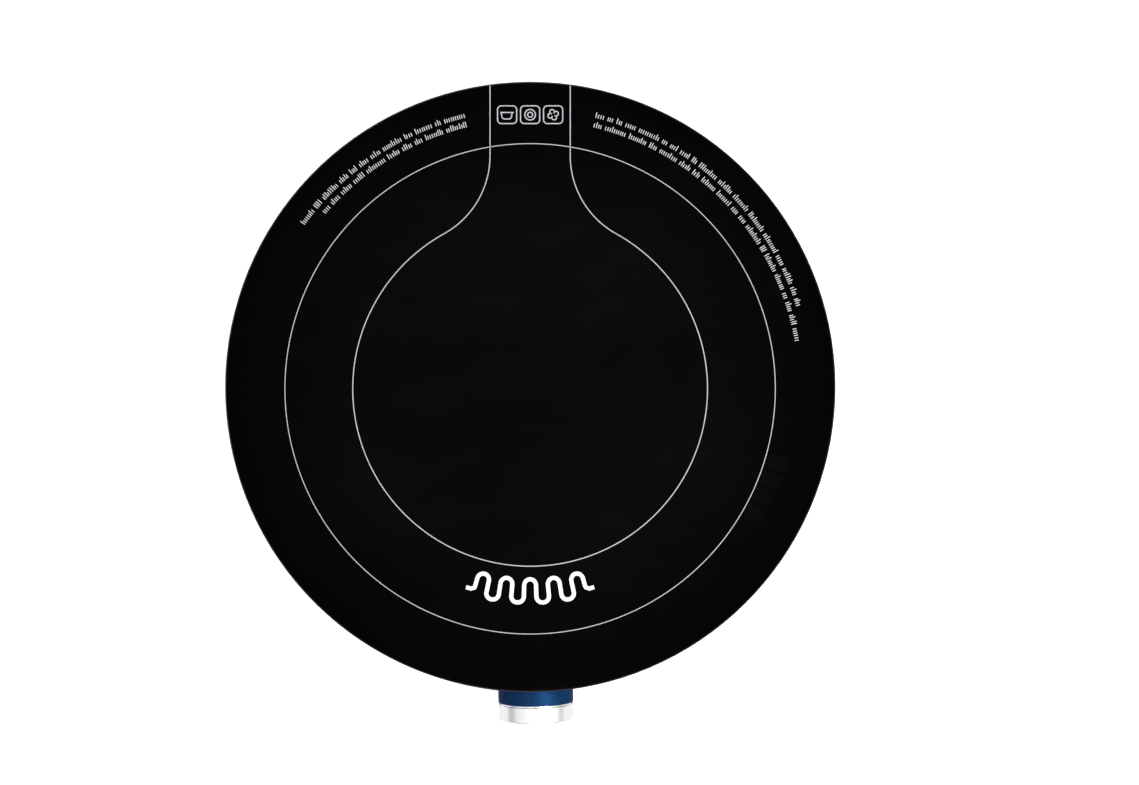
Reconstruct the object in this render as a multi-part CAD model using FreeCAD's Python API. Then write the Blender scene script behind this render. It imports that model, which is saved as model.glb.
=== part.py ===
"""Portable round induction hot plate: a black glass disc on a blue drum housing, with one control knob
at the front (-Y), an appliance inlet at the back (+Y) and the coil, electronics and fan inside.

Units are millimetres. The origin is on the disc's axis, in the plane that the feet stand on; +Z is up.
Each function below makes one piece, or one group of identical pieces, and main() writes them all.
"""

import FreeCAD, Part
import math
import os

V = FreeCAD.Vector
UP = V(0, 0, 1)
BACK = V(0, 1, 0)

# ---- driving dimensions -------------------------------------------------------------------------
HEIGHT = 64.0  # feet to cooking surface
GLASS_R = 150.0
GLASS_T = 4.0
GLASS_BEVEL = 0.7
SEAL_T = 1.0
WALL = 2.2  # housing wall
FOOT_H = 6.0
FLOOR_T = 2.5
BASE_R = 136.4
BASE_RIM_H = 5.5  # floor underside to the top of the rim
HOUSING_BOTTOM_Z = 9.0
DRUM_R_TOP = 144.5
DRUM_R_BOTTOM = 139.0
KNOB_R = 19.0
KNOB_Z = 33.0  # height of the knob's axis
KNOB_FRONT = 168.0  # distances forward of the disc's axis, along -Y
COLLAR_FRONT = 159.0
KNOB_GAP = 0.7  # between the knob and its collar
COIL_PITCH = 2.7
LITZ_R = 1.25
COIL_HALF_TURNS = 48
COIL_START_R = 22.5
FAN_X, FAN_Y = -58.0, 42.0
FAN_SIZE = 80.0
FAN_DEPTH = 25.0
FAN_BLADES = 7
DISPLAY_TURN = -24.0  # degrees round from +X
INLET_Z = 31.0

# ---- heights and places worked out from them ----------------------------------------------------
GLASS_Z = HEIGHT - GLASS_T
FLANGE_Z = GLASS_Z - SEAL_T
FLOOR_Z = FOOT_H + FLOOR_T
RIM_Z = FOOT_H + BASE_RIM_H
FLANGE_T = WALL
FLANGE_R_IN = 133.5
BOSS_CIRCLE_R = 129.5
BOSS_R = 4.5
BOSS_ANGLES = [60.0 * k for k in range(6)]
FOOT_CIRCLE_R = 118.0
FOOT_ANGLES = [45.0 + 90.0 * k for k in range(4)]
PAD_FRONT = 145.0  # round pad on the drum that carries the knob collar
PAD_BACK = 136.5
PAD_R = 21.4
SPIGOT_R = 17.0
INLET_PAD_Y = 144.6
INLET_FLANGE_Y = INLET_PAD_Y + 2.5
BOARD_Z = 14.0
BOARD_T = 1.6
BOARD_TOP = BOARD_Z + BOARD_T
FAN_Z = 10.0
FAN_HOLE = 35.75  # half the spacing of the fan's screw holes
POST_CIRCLE_R = 100.0
POST_ANGLES = [63.0, 183.0, 303.0]
POST_TOP = 44.0
FORMER_Z = 53.4
FORMER_T = 2.5
FORMER_TOP = FORMER_Z + FORMER_T
FORMER_R = 92.0
COIL_Z = FORMER_TOP + LITZ_R + 0.05
FERRITE = (60.0, 13.0, 5.0)
FERRITE_START = 26.0
BOARD_BOX = (-14.0, 100.0, -72.0, 78.0)
BOARD_HOLES = [(-8.0, -66.0), (94.0, -66.0), (-8.0, 72.0), (94.0, 70.0)]
CONTROL_Y = -131.9  # front face of the control board
CONTROL_T = 1.6
STANDOFF_X = 18.0
BOARD_TOP_DISPLAY = 51.6
PILOT_R = 1.3
SCREW_R = 1.25


# ---- helpers ------------------------------------------------------------------------------------
def cyl(r, z0, z1, x=0.0, y=0.0):
    """Upright cylinder from z0 to z1."""
    return Part.makeCylinder(r, z1 - z0, V(x, y, z0), UP)


def ring(r_out, r_in, z0, z1, x=0.0, y=0.0):
    return cyl(r_out, z0, z1, x, y).cut(cyl(r_in, z0 - 1, z1 + 1, x, y))


def box(x0, x1, y0, y1, z0, z1):
    return Part.makeBox(x1 - x0, y1 - y0, z1 - z0, V(x0, y0, z0))


def front_cyl(r, s0, s1, x=0.0, z=KNOB_Z):
    """Cylinder along Y whose ends lie s0 and s1 forward of the disc's axis."""
    return Part.makeCylinder(r, s1 - s0, V(x, -s1, z), BACK)


def front_box(x0, x1, s0, s1, z0, z1):
    return box(x0, x1, -s1, -s0, z0, z1)


def arc(p, q, r):
    return Part.Arc(V(*p), V(*q), V(*r)).toShape()


def line(p, q):
    return Part.LineSegment(V(*p), V(*q)).toShape()


def spin(points):
    """Solid of revolution about Z from a closed outline of (r, z) corners."""
    corners = [V(r, 0, z) for r, z in points]
    face = Part.Face(Part.makePolygon(corners + corners[:1]))
    return face.revolve(V(0, 0, 0), UP, 360)


def spin_forward(points):
    """Solid of revolution about the knob's axis from a closed outline of (r, s) corners."""
    corners = [V(r, -s, KNOB_Z) for r, s in points]
    face = Part.Face(Part.makePolygon(corners + corners[:1]))
    return face.revolve(V(0, 0, KNOB_Z), BACK, 360)


def polar(radius, degrees):
    a = math.radians(degrees)
    return radius * math.cos(a), radius * math.sin(a)


def turned(shape, degrees):
    copy = shape.copy()
    copy.rotate(V(0, 0, 0), UP, degrees)
    return copy


def fuse(first, others):
    return first.multiFuse(list(others)).removeSplitter()


def cut(first, others):
    return first.cut(Part.makeCompound(list(others)))


def rounded_box(x0, x1, y0, y1, z0, z1, r):
    """Box with its upright edges rounded."""
    b = box(x0, x1, y0, y1, z0, z1)
    upright = [e for e in b.Edges if abs(e.Vertexes[0].Z - e.Vertexes[1].Z) > 0.5 * (z1 - z0)]
    return b.makeFillet(r, upright)


def pan_screw(x, y, z, length, up, head_r=2.8, head_h=1.8, shank_r=SCREW_R):
    """Cross-head screw whose head bears on height z; the shank points up, or down if up is False."""
    s = 1.0 if up else -1.0
    direction = V(0, 0, s)
    head = Part.makeCylinder(head_r, head_h, V(x, y, z), direction * -1)
    edge = [e for e in head.Edges if abs(e.CenterOfMass.z - (z - s * head_h)) < 1e-6 and e.Length > 2]
    head = head.makeFillet(0.6, edge)
    shank = Part.makeCylinder(shank_r, length, V(x, y, z), direction)
    top = z - s * head_h
    slots = [
        box(x - a, x + a, y - b, y + b, min(top, top + s * 0.9), max(top, top + s * 0.9))
        for a, b in ((1.7, 0.35), (0.35, 1.7))
    ]
    return cut(fuse(head, [shank]), slots)


def front_screw(x, z, s_bear, length, head_r=1.9, head_h=1.5, shank_r=1.0):
    """Screw along Y whose head bears at s_bear from behind and whose shank runs forward."""
    head = front_cyl(head_r, s_bear - head_h, s_bear, x, z)
    shank = front_cyl(shank_r, s_bear, s_bear + length, x, z)
    return fuse(head, [shank])


def lead(points, radius):
    """Round lead along straight runs joined by the largest tangent arcs that the runs allow."""
    return swept(points, lambda start, along: Part.Wire(Part.makeCircle(radius, start, along)))


def swept(points, section):
    p = [V(*q) for q in points]
    edges, at = [], p[0]
    for before, corner, after in zip(p, p[1:], p[2:]):
        a, b = (before - corner), (after - corner)
        back = 0.45 * min(a.Length, b.Length)
        a.normalize()
        b.normalize()
        start, end = corner + a * back, corner + b * back
        half = a.getAngle(b) / 2
        radius = back * math.tan(half)
        inward = a + b
        inward.normalize()
        middle = corner + inward * (radius / math.sin(half) - radius)
        edges += [Part.LineSegment(at, start).toShape(), Part.Arc(start, middle, end).toShape()]
        at = end
    edges.append(Part.LineSegment(at, p[-1]).toShape())
    path = Part.Wire(edges)
    along = p[1] - p[0]
    return path.makePipeShell([section(p[0], along)], True, False)


# ---- glass and housing --------------------------------------------------------------------------
def glass_top():
    b = GLASS_BEVEL
    return spin([(0, GLASS_Z), (GLASS_R - b, GLASS_Z), (GLASS_R, GLASS_Z + b), (GLASS_R, HEIGHT - b),
                 (GLASS_R - b, HEIGHT), (0, HEIGHT)])


def glass_seal():
    return ring(142.5, 135.0, FLANGE_Z, GLASS_Z)


def drum_outline(inset):
    """Edges of the drum's side from its bottom to its shoulder, moved in by inset."""
    low, mid, high = DRUM_R_BOTTOM - inset, DRUM_R_TOP - 1.4 - inset, DRUM_R_TOP - inset
    return (low, 0, HOUSING_BOTTOM_Z), (mid, 0, 29.0), (high, 0, 50.0)


def drum_envelope():
    """The drum's full outer volume, used to trim the ribs inside it."""
    a, b, c = drum_outline(0.0)
    top = (DRUM_R_TOP, 0, FLANGE_Z)
    wire = Part.Wire([arc(a, b, c), line(c, top), line(top, (0, 0, FLANGE_Z)),
                      line((0, 0, FLANGE_Z), (0, 0, HOUSING_BOTTOM_Z)), line((0, 0, HOUSING_BOTTOM_Z), a)])
    return Part.Face(wire).revolve(V(0, 0, 0), UP, 360)


def drum_shell():
    a, b, c = drum_outline(0.0)
    d, e, f = drum_outline(WALL)
    shoulder = 1.2
    s0 = (DRUM_R_TOP, 0, FLANGE_Z - shoulder)
    s1 = (DRUM_R_TOP - shoulder * (1 - math.sqrt(0.5)), 0, FLANGE_Z - shoulder * (1 - math.sqrt(0.5)))
    s2 = (DRUM_R_TOP - shoulder, 0, FLANGE_Z)
    lip = (FLANGE_R_IN, 0, FLANGE_Z)
    under = (FLANGE_R_IN, 0, FLANGE_Z - FLANGE_T)
    corner = (DRUM_R_TOP - WALL, 0, FLANGE_Z - FLANGE_T)
    wire = Part.Wire([arc(a, b, c), line(c, s0), arc(s0, s1, s2), line(s2, lip), line(lip, under),
                      line(under, corner), line(corner, f), arc(f, e, d), line(d, a)])
    return Part.Face(wire).revolve(V(0, 0, 0), UP, 360)


def vent_slots():
    """Upright exhaust slots through the drum's side, in two groups towards the back."""
    slots = []
    for start in (22.0, 122.0):
        for k in range(12):
            angle = start + 3.3 * k
            slot = box(130, 150, -1.4, 1.4, 24, 44)
            ends = [Part.makeCylinder(1.4, 20, V(130, 0, z), V(1, 0, 0)) for z in (24, 44)]
            slots.append(turned(fuse(slot, ends), angle))
    return slots


def display_holes():
    """Places of the display board's two screws, under the flange."""
    a = math.radians(DISPLAY_TURN)
    u = 133.5
    return [(u * math.cos(a) - v * math.sin(a), u * math.sin(a) + v * math.cos(a)) for v in (-24.0, 24.0)]


def upper_housing():
    envelope = drum_envelope()
    bosses, pilots = [], []
    for angle in BOSS_ANGLES:
        x, y = polar(BOSS_CIRCLE_R, angle)
        bosses.append(cyl(BOSS_R, RIM_Z, FLANGE_Z - 0.5, x, y))
        rib = turned(box(BOSS_CIRCLE_R, 150, -1.0, 1.0, RIM_Z + 2, FLANGE_Z - 1), angle)
        bosses.append(rib.common(envelope))
        pilots.append(cyl(1.55, RIM_Z - 1, RIM_Z + 16, x, y))
    for x, y in display_holes():
        bosses.append(cyl(3.2, BOARD_TOP_DISPLAY, FLANGE_Z - 1, x, y))
        pilots.append(cyl(PILOT_R, BOARD_TOP_DISPLAY - 1, BOARD_TOP_DISPLAY + 5.5, x, y))
    knob_pad = front_cyl(PAD_R, PAD_BACK, PAD_FRONT)
    front_edge = [e for e in knob_pad.Edges if abs(e.CenterOfMass.y + PAD_FRONT) < 1e-6]
    knob_pad = knob_pad.makeChamfer(0.5, front_edge)
    inlet_pad = rounded_box(-27, 27, 0, 30, 0, 6.6, 3)
    inlet_pad.rotate(V(0, 0, 0), V(1, 0, 0), 90)
    inlet_pad.translate(V(0, INLET_PAD_Y, INLET_Z - 15))
    body = fuse(drum_shell(), bosses + [knob_pad, inlet_pad])
    holes = [front_cyl(SPIGOT_R + 0.15, PAD_BACK - 3, PAD_FRONT + 3)]
    holes.append(box(-14.2, 14.2, 130, 150, INLET_Z - 10.2, INLET_Z + 10.2))
    holes += [Part.makeCylinder(PILOT_R, 12, V(x, 136, INLET_Z), BACK) for x in (-20, 20)]
    return cut(body, holes + pilots + vent_slots())


# ---- base, feet and what holds it together ------------------------------------------------------
def fan_grille():
    """Concentric slots under the fan, left standing as rings by six spokes."""
    slot_radii = (7.0, 12.0, 17.0, 22.0, 27.0, 32.0)
    rings = [ring(r + 2.8, r, FOOT_H - 1, FLOOR_Z + 1, FAN_X, FAN_Y) for r in slot_radii]
    spokes = []
    for k in range(6):
        spoke = box(5, 40, -1.3, 1.3, FOOT_H - 2, FLOOR_Z + 2)
        spoke.rotate(V(0, 0, 0), UP, 60 * k + 15)
        spoke.translate(V(FAN_X, FAN_Y, 0))
        spokes.append(spoke)
    return [cut(r, spokes) for r in rings]


def floor_slots():
    """Parallel intake slots under the power board."""
    slots = []
    for k in range(9):
        x = 26.0 + 8.0 * k
        half = 26.0 - 0.9 * abs(k - 4) ** 1.5
        slots.append(box(x - 1.5, x + 1.5, -8 - half, -8 + half, FOOT_H - 1, FLOOR_Z + 1))
    return slots


def base_cover():
    edge = 1.0
    floor = spin([(0, FOOT_H), (BASE_R - edge, FOOT_H), (BASE_R, FOOT_H + edge), (BASE_R, RIM_Z),
                  (BASE_R - WALL, RIM_Z), (BASE_R - WALL, FLOOR_Z), (0, FLOOR_Z)])
    solids, holes = [], fan_grille() + floor_slots()
    for angle in BOSS_ANGLES:
        x, y = polar(BOSS_CIRCLE_R, angle)
        solids.append(cyl(6.0, FOOT_H + 0.1, RIM_Z, x, y).common(cyl(BASE_R - WALL / 2, FOOT_H, HEIGHT)))
        holes += [cyl(4.0, FOOT_H - 1, FOOT_H + 3.5, x, y), cyl(1.8, FOOT_H, RIM_Z + 1, x, y)]
    for angle in POST_ANGLES:
        x, y = polar(POST_CIRCLE_R, angle)
        solids.append(cyl(4.5, FOOT_H + 1, POST_TOP, x, y))
        solids.append(box(x - 7.5, x + 7.5, y - 0.9, y + 0.9, FOOT_H + 1, 22))
        solids.append(box(x - 0.9, x + 0.9, y - 7.5, y + 7.5, FOOT_H + 1, 22))
        holes.append(cyl(PILOT_R, POST_TOP - 12, POST_TOP + 1, x, y))
    for x, y in BOARD_HOLES:
        solids.append(cyl(3.5, FOOT_H + 1, BOARD_Z, x, y))
        holes.append(cyl(PILOT_R, FLOOR_Z - 0.5, BOARD_Z + 1, x, y))
    for x, y in fan_holes():
        solids.append(cyl(4.0, FOOT_H + 1, FAN_Z, x, y))
        holes.append(cyl(PILOT_R, FOOT_H + 1.2, FAN_Z + 1, x, y))
    for angle in FOOT_ANGLES:
        x, y = polar(FOOT_CIRCLE_R, angle)
        holes.append(cyl(3.3, FOOT_H - 1, FLOOR_Z + 1, x, y))
    return cut(fuse(floor, solids), holes)


def foot(angle):
    """Rubber foot: a round pad under the floor and a plug pushed through it."""
    x, y = polar(FOOT_CIRCLE_R, angle)
    body = spin([(0, 0), (7.6, 0), (8.6, 1.0), (9.5, FOOT_H), (3.2, FOOT_H), (3.2, FLOOR_Z), (4.3, FLOOR_Z),
                 (3.4, FLOOR_Z + 1.3), (0, FLOOR_Z + 1.3)])
    groove = ring(6.0, 4.8, -1, 0.6)
    body = body.cut(groove)
    body.translate(V(x, y, 0))
    return body


def base_screws():
    screws = []
    for angle in BOSS_ANGLES:
        x, y = polar(BOSS_CIRCLE_R, angle)
        screws.append(pan_screw(x, y, FOOT_H + 3.5, 16, True, 3.5, 2.2, 1.5))
    return Part.makeCompound(screws)


# ---- knob, its collar and the encoder -----------------------------------------------------------
def knob_cap():
    """Turned metal cap: a dished face, a rounded rim and a stepped skirt that enters the collar."""
    rim = 1.2
    rim_back = COLLAR_FRONT + KNOB_GAP
    p = [V(r, -s, KNOB_Z) for r, s in (
        (0, KNOB_FRONT - 0.8), (14.6, KNOB_FRONT - 0.8), (15.6, KNOB_FRONT), (KNOB_R - rim, KNOB_FRONT),
        (KNOB_R, KNOB_FRONT - rim), (KNOB_R, rim_back + 0.2), (KNOB_R - 0.2, rim_back), (18.0, rim_back),
        (18.0, rim_back - 1.2), (16.5, rim_back - 1.2), (16.5, rim_back - 3.5), (14.8, rim_back - 3.5),
        (14.8, KNOB_FRONT - 2.8), (9.8, KNOB_FRONT - 2.8),
        (9.8, KNOB_FRONT - 9), (8.3, KNOB_FRONT - 9), (8.3, KNOB_FRONT - 2.8), (0, KNOB_FRONT - 2.8))]
    edges = [Part.LineSegment(a, b).toShape() for a, b in zip(p, p[1:] + p[:1])]
    bulge = rim * (1 - math.sqrt(0.5))
    edges[3] = Part.Arc(p[3], V(KNOB_R - bulge, -(KNOB_FRONT - bulge), KNOB_Z), p[4]).toShape()
    return Part.Face(Part.Wire(edges)).revolve(V(0, 0, KNOB_Z), BACK, 360)


def knob_insert():
    """Plastic hub inside the cap, with a D-shaped bore for the shaft."""
    hub = front_cyl(8.2, 149.5, KNOB_FRONT - 2.8)
    neck = front_cyl(5.5, 147.5, 150)
    bore = front_cyl(3.05, 147, 160.5).common(front_box(-4, 2.05, 147, 160.5, KNOB_Z - 4, KNOB_Z + 4))
    slots = [front_box(-9, 9, 149, 158, KNOB_Z - 0.6, KNOB_Z + 0.6).cut(front_cyl(6.2, 148, 159))]
    return cut(fuse(hub, [neck]), [bore] + slots)


def encoder_shaft():
    stem = front_cyl(3.0, 135.0, 160.0)
    flat = front_box(2.0, 4, 146.6, 161, KNOB_Z - 4, KNOB_Z + 4)
    disc = front_cyl(5.5, 135.4, 137.0)
    return fuse(stem.cut(flat), [disc])


def knob_collar():
    chamfer = 0.2
    body = spin_forward([
        (3.7, 139.0), (11.5, 139.0), (11.5, PAD_BACK), (SPIGOT_R, PAD_BACK), (SPIGOT_R, PAD_FRONT),
        (KNOB_R, PAD_FRONT), (KNOB_R, COLLAR_FRONT - chamfer), (KNOB_R - chamfer, COLLAR_FRONT),
        (18.3, COLLAR_FRONT), (18.3, COLLAR_FRONT - 2.0), (16.8, COLLAR_FRONT - 2.0), (16.8, 154.5),
        (14.5, 154.5), (14.5, 141.0), (3.7, 141.0)])
    return cut(body, [front_cyl(1.05, PAD_BACK - 1, 140.5, x, z) for x, z in collar_holes()])


def collar_holes():
    angles = [math.radians(a) for a in (90, 210, 330)]
    return [(14.3 * math.cos(a), KNOB_Z + 14.3 * math.sin(a)) for a in angles]


def encoder_body():
    case = front_box(-7, 7, 131.9, 138.9, KNOB_Z - 6.5, KNOB_Z + 6.5)
    bushing = front_cyl(3.5, 138.9, 146.0)
    pocket = front_cyl(6.0, 132.9, 137.9)
    return cut(fuse(case, [bushing]), [pocket, front_cyl(3.1, 130, 147).cut(front_cyl(4, 129, 133.5))])


def encoder_nut():
    hexagon = Part.makePolygon([V(5.8 * math.cos(math.radians(60 * k)), -143.1, KNOB_Z
                                  + 5.8 * math.sin(math.radians(60 * k))) for k in range(7)])
    return Part.Face(hexagon).extrude(V(0, 2.0, 0)).cut(front_cyl(3.55, 140, 145))


def switch_plunger():
    return fuse(front_cyl(2.0, 133.9, 134.95), [front_cyl(3.4, 134.3, 134.95)])


def collar_bracket():
    plate = front_cyl(21.0, PAD_BACK - 1.2, PAD_BACK)
    posts = [front_cyl(2.4, -CONTROL_Y, PAD_BACK - 1.0, x) for x in (-STANDOFF_X, STANDOFF_X)]
    holes = [front_box(-7.5, 7.5, 130, 140, KNOB_Z - 7.2, KNOB_Z + 7.2)]
    holes += [front_cyl(1.2, 130, 140, x, z) for x, z in collar_holes()]
    holes += [front_cyl(1.05, 130, 140, x) for x in (-STANDOFF_X, STANDOFF_X)]
    return cut(fuse(plate, posts), holes)


def knob_screws():
    """The same small screw holds the collar to its bracket and the control board to the bracket's posts."""
    screws = [front_screw(x, z, PAD_BACK - 1.2, 5.0) for x, z in collar_holes()]
    screws += [front_screw(x, KNOB_Z, -CONTROL_Y - CONTROL_T, 5.0) for x in (-STANDOFF_X, STANDOFF_X)]
    return Part.makeCompound(screws)


def control_board():
    back = -CONTROL_Y - CONTROL_T
    plate = front_box(-22, 22, back, -CONTROL_Y, 17, 49)
    return cut(plate, [front_cyl(1.2, 125, 135, x) for x in (-STANDOFF_X, STANDOFF_X)])


# ---- appliance inlet ----------------------------------------------------------------------------
PIN_PLACES = [(-7.0, INLET_Z - 2.0), (7.0, INLET_Z - 2.0), (0.0, INLET_Z + 2.0)]


def pin_blades():
    """Three flat contacts: a blade in the socket and a push-on tab behind it."""
    pins = []
    for x, z in PIN_PLACES:
        tab = box(x - 0.4, x + 0.4, 113, 122, z - 3.1, z + 3.1)
        pins.append(fuse(box(x - 1, x + 1, 122, 145, z - 2, z + 2), [tab]))
    return pins


def mains_inlet():
    flange = rounded_box(-25, 25, 0, 24, 0, 2.5, 4)
    flange.rotate(V(0, 0, 0), V(1, 0, 0), 90)
    flange.translate(V(0, INLET_FLANGE_Y, INLET_Z - 12))
    body = box(-14, 14, 122, INLET_PAD_Y + 1, INLET_Z - 10, INLET_Z + 10)
    w, h, c = 12.1, 8.4, 4.6
    outline = [(-w, -h), (w, -h), (w, h - c), (w - c, h), (c - w, h), (-w, h - c)]
    wire = Part.makePolygon([V(x, 130.6, INLET_Z + z) for x, z in outline + outline[:1]])
    cavity = Part.Face(wire).extrude(V(0, 20, 0))
    screw_holes = [Part.makeCone(1.4, 2.9, 1.5, V(x, INLET_FLANGE_Y - 1.5, INLET_Z), BACK) for x in (-20, 20)]
    screw_holes += [Part.makeCylinder(1.4, 4, V(x, INLET_PAD_Y - 1, INLET_Z), BACK) for x in (-20, 20)]
    return cut(fuse(flange, [body]), [cavity] + screw_holes + pin_blades())


def inlet_pins():
    return Part.makeCompound(pin_blades())


def inlet_screws():
    screws = []
    for x in (-20, 20):
        head = Part.makeCone(1.25, 2.7, 1.45, V(x, INLET_FLANGE_Y - 1.5, INLET_Z), BACK)
        shank = Part.makeCylinder(SCREW_R, 9, V(x, INLET_FLANGE_Y - 10, INLET_Z), BACK)
        slots = [box(x - a, x + a, INLET_FLANGE_Y - 0.85, INLET_FLANGE_Y, INLET_Z - b, INLET_Z + b)
                 for a, b in ((1.6, 0.32), (0.32, 1.6))]
        screws.append(cut(fuse(head, [shank]), slots))
    return Part.makeCompound(screws)


# ---- coil unit ----------------------------------------------------------------------------------
def induction_coil():
    """Flat spiral of litz wire: half-turns whose centres alternate, so that they meet tangentially."""
    edges = []
    for k in range(COIL_HALF_TURNS):
        r = COIL_START_R + k * COIL_PITCH / 2
        cx, s = (0.0, 1.0) if k % 2 == 0 else (COIL_PITCH / 2, -1.0)
        edges.append(arc((cx + s * r, 0, COIL_Z), (cx, s * r, COIL_Z), (cx - s * r, 0, COIL_Z)))
    section = Part.Wire(Part.makeCircle(LITZ_R, V(COIL_START_R, 0, COIL_Z), BACK))
    return Part.Wire(edges).makePipeShell([section], True, False)


def coil_former():
    """Spoked plastic carrier with a lip inside and outside the winding and an ear over each post."""
    plate = cyl(FORMER_R, FORMER_Z, FORMER_TOP)
    lip_top = FORMER_TOP + 2.4
    lips = [ring(FORMER_R, FORMER_R - 1.8, FORMER_Z, lip_top), ring(20.6, 18.6, FORMER_Z, lip_top)]
    ears, holes = [], []
    for angle in POST_ANGLES:
        x, y = polar(POST_CIRCLE_R, angle)
        ears.append(cyl(7.0, FORMER_Z, FORMER_TOP, x, y))
        ears.append(turned(box(86, 100, -7, 7, FORMER_Z, FORMER_TOP), angle))
        holes.append(cyl(1.6, FORMER_Z - 1, FORMER_TOP + 1, x, y))
    ribs = []
    for k in range(6):
        for side in (-1, 1):
            y0, y1 = sorted((side * 6.65, side * 8.0))
            ribs.append(turned(box(30, 84, y0, y1, FORMER_Z - 3, FORMER_Z), 30 + 60 * k))
    spokes = [turned(box(20, 90, -8, 8, FORMER_Z - 1, FORMER_TOP + 1), 30 + 60 * k) for k in range(6)]
    windows = cut(ring(83.0, 30.0, FORMER_Z - 1, FORMER_TOP + 0.5), spokes)
    exits = [box(20.7, 26.5, -11, -0.3, FORMER_Z - 1, FORMER_TOP + 1)]
    exits.append(box(83, 90, 0.3, 13, FORMER_Z - 1, FORMER_TOP + 1))
    sensor_hole = cyl(7.4, FORMER_Z - 1, FORMER_TOP + 1)
    return cut(fuse(plate, lips + ears + ribs), holes + [windows, sensor_hole] + exits)


def ferrite_bars():
    length, width, thick = FERRITE
    bar = box(FERRITE_START, FERRITE_START + length, -width / 2, width / 2, FORMER_Z - thick, FORMER_Z)
    return Part.makeCompound([turned(bar, 30 + 60 * k) for k in range(6)])


def mica_sheet():
    return ring(89.0, 9.0, FORMER_TOP + 2.75, FORMER_TOP + 3.25)


def coil_springs():
    """Compression springs that press the former up under the glass."""
    springs = []
    wire_r, mean_r, turns = 0.45, 3.6, 5
    low, high = POST_TOP + wire_r + 0.05, FORMER_Z - wire_r - 0.05
    for angle in POST_ANGLES:
        x, y = polar(POST_CIRCLE_R, angle)
        helix = Part.makeHelix((high - low) / turns, high - low, mean_r)
        section = Part.Wire(Part.makeCircle(wire_r, V(mean_r, 0, 0), BACK))
        spring = Part.Wire(helix.Edges).makePipeShell([section], True, True)
        spring.translate(V(x, y, low))
        springs.append(spring)
    return Part.makeCompound(springs)


def coil_screws():
    screws = []
    for angle in POST_ANGLES:
        x, y = polar(POST_CIRCLE_R, angle)
        screws.append(pan_screw(x, y, FORMER_TOP, FORMER_TOP - POST_TOP + 8, False, 3.2, 1.8))
    return Part.makeCompound(screws)


def sensor_boot():
    """Silicone boot that seats the temperature sensor in the former's hub."""
    boot = spin([(2.6, 49.0), (4.6, 49.0), (4.6, FORMER_Z - 1.2), (8.6, FORMER_Z - 1.2),
                 (8.6, FORMER_Z), (7.3, FORMER_Z), (7.3, FORMER_TOP), (8.4, FORMER_TOP),
                 (8.4, FORMER_TOP + 1.2), (5.0, GLASS_Z - 1), (2.6, GLASS_Z - 1)])
    return boot


def surface_sensor():
    """Glass-bead thermistor in a metal can, touching the glass from below."""
    return fuse(cyl(2.5, 50.0, GLASS_Z), [cyl(3.6, GLASS_Z - 0.9, GLASS_Z)])


# ---- power board --------------------------------------------------------------------------------
def power_board():
    x0, x1, y0, y1 = BOARD_BOX
    plate = rounded_box(x0, x1, y0, y1, BOARD_Z, BOARD_TOP, 6)
    return cut(plate, [cyl(1.6, BOARD_Z - 1, BOARD_TOP + 1, x, y) for x, y in BOARD_HOLES])


def board_screws():
    """The same screw holds the power board, the fan and the display board."""
    screws = [pan_screw(x, y, BOARD_TOP, 6.5, False) for x, y in BOARD_HOLES]
    screws += [pan_screw(x, y, FAN_Z + 3.5, 6.0, False) for x, y in fan_holes()]
    screws += [pan_screw(x, y, BOARD_TOP_DISPLAY - BOARD_T, 6.5, True) for x, y in display_holes()]
    return Part.makeCompound(screws)


SINK = (-10.0, 34.0, -36.0, 40.0)
SINK_Z = BOARD_TOP + 5.0


def heat_sink():
    """Aluminium extrusion: a thick plate under tall fins that run along X."""
    x0, x1, y0, y1 = SINK
    plate = box(x0, x1, y0, y1, SINK_Z, SINK_Z + 4)
    count, fin = 12, 1.5
    step = (y1 - y0 - fin) / (count - 1)
    fins = [box(x0, x1, y0 + k * step, y0 + k * step + fin, SINK_Z + 3.5, 43.0) for k in range(count)]
    return fuse(plate, fins)


def power_transistor():
    tab = box(2, 18, -30, -9, BOARD_TOP, SINK_Z)
    return cut(tab, [cyl(1.8, BOARD_TOP - 1, SINK_Z + 1, 10, -26)])


def bridge_rectifier():
    return rounded_box(0, 22, 4, 32, BOARD_TOP, SINK_Z, 1.5)


def boxed_capacitor(x0, x1, y0, y1, top):
    body = rounded_box(x0, x1, y0, y1, BOARD_TOP, top, 1.2)
    rim = [e for e in body.Edges if abs(e.CenterOfMass.z - top) < 1e-6]
    return body.makeChamfer(0.6, rim)


def resonant_capacitor():
    return boxed_capacitor(46, 66, -62, -20, 43)


def filter_capacitor():
    return boxed_capacitor(74, 92, -56, -24, 40)


CHOKE = (60.0, 18.0, BOARD_TOP + 6.8)


def choke_core():
    x, y, z = CHOKE
    return ring(15.0, 8.0, z - 3.5, z + 3.5, x, y)


def choke_winding():
    x, y, z = CHOKE
    turns = []
    for k in range(14):
        angle = 12 + 336.0 / 13 * k
        dx, dy = polar(11.5, angle)
        across = V(-dy, dx, 0)
        turns.append(Part.makeTorus(5.9, 0.8, V(x + dx, y + dy, z), across))
    return Part.makeCompound(turns)


def bulk_capacitors():
    cans = []
    for x, y in ((86.0, 12.0), (86.0, 30.0)):
        can = spin([(0, BOARD_TOP), (6.3, BOARD_TOP), (6.3, BOARD_TOP + 1.5), (6.0, BOARD_TOP + 2.1),
                    (6.3, BOARD_TOP + 2.7), (6.3, 37.5), (5.7, 38.2), (0, 38.2)])
        can.translate(V(x, y, 0))
        cans.append(can)
    return Part.makeCompound(cans)


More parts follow.
